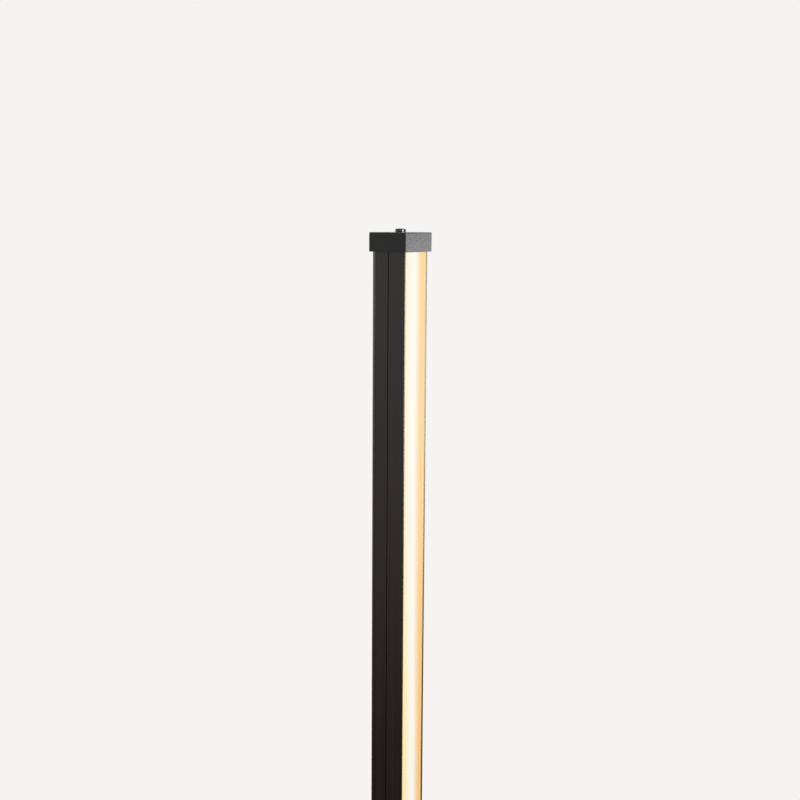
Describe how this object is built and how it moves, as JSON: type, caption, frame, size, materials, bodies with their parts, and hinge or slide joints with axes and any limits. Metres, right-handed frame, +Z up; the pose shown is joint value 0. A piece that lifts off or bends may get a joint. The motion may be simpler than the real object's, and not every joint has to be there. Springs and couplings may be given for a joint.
{
  "type": "led floor lamp",
  "caption": "Slim square black column lamp on a flat square base, with a warm-white opal strip up one face and a push-button cap on top.",
  "frame": {"origin": "on the floor, under the middle of the base plate", "axes": "+Z up along the column, the lit face towards -Y, the power inlet towards +Y"},
  "size_m": [0.22, 0.22, 1.4025],
  "materials": {
    "powder_coated_steel": "fine-textured black powder coat on steel",
    "coated_casting": "fine-textured black powder coat on an aluminium die casting",
    "black_anodised": "satin black anodised extrusion",
    "opal_acrylic": "opal, lit warm white from behind",
    "black_cap_plastic": "satin moulded black",
    "gloss_black_plastic": "polished moulded black",
    "black_rubber": "matt moulded",
    "black_oxide_steel": "black oxide",
    "nickel_plated_brass": "nickel plated",
    "white_flex_circuit": "white solder resist",
    "phosphor": "yellow phosphor in a white case",
    "chip_black": "moulded epoxy",
    "green_board": "green solder resist",
    "grey_fibre": "pressed insulating fibre",
    "black_nylon": "moulded",
    "red_wire": "insulated wire",
    "black_wire": "insulated wire",
    "white_plastic": "moulded"
  },
  "bodies": {
    "lamp": {"base_plate": "powder_coated_steel", "base_feet": "black_rubber", "base_screws": "black_oxide_steel", "column_socket": "coated_casting", "socket_screws": "black_oxide_steel", "column_profile": "black_anodised", "rear_cover": "black_anodised", "diffuser": "opal_acrylic", "led_strip": "white_flex_circuit", "led_chips": "phosphor", "strip_resistors": "chip_black", "strip_leads": "black_wire", "top_cap": "black_cap_plastic", "cap_screws": "black_oxide_steel", "insulator_sheet": "grey_fibre", "control_board": "green_board", "board_components": "chip_black", "switch_body": "black_nylon", "dc_jack_housing": "black_nylon", "dc_jack_pin": "nickel_plated_brass", "dc_jack_nut": "nickel_plated_brass", "dc_jack_lugs": "nickel_plated_brass", "supply_wire_positive": "red_wire", "supply_wire_negative": "black_wire"},
    "button": {"power_button": "gloss_black_plastic", "switch_plunger": "white_plastic"}
  },
  "joints": [
    {"name": "button_press", "type": "slide", "parent": "lamp", "child": "button", "axis": [0, 0, -1], "range_m": [0, 0.0012], "stiffness_N_per_m": 1500, "springref_m": -0.0005}
  ]
}
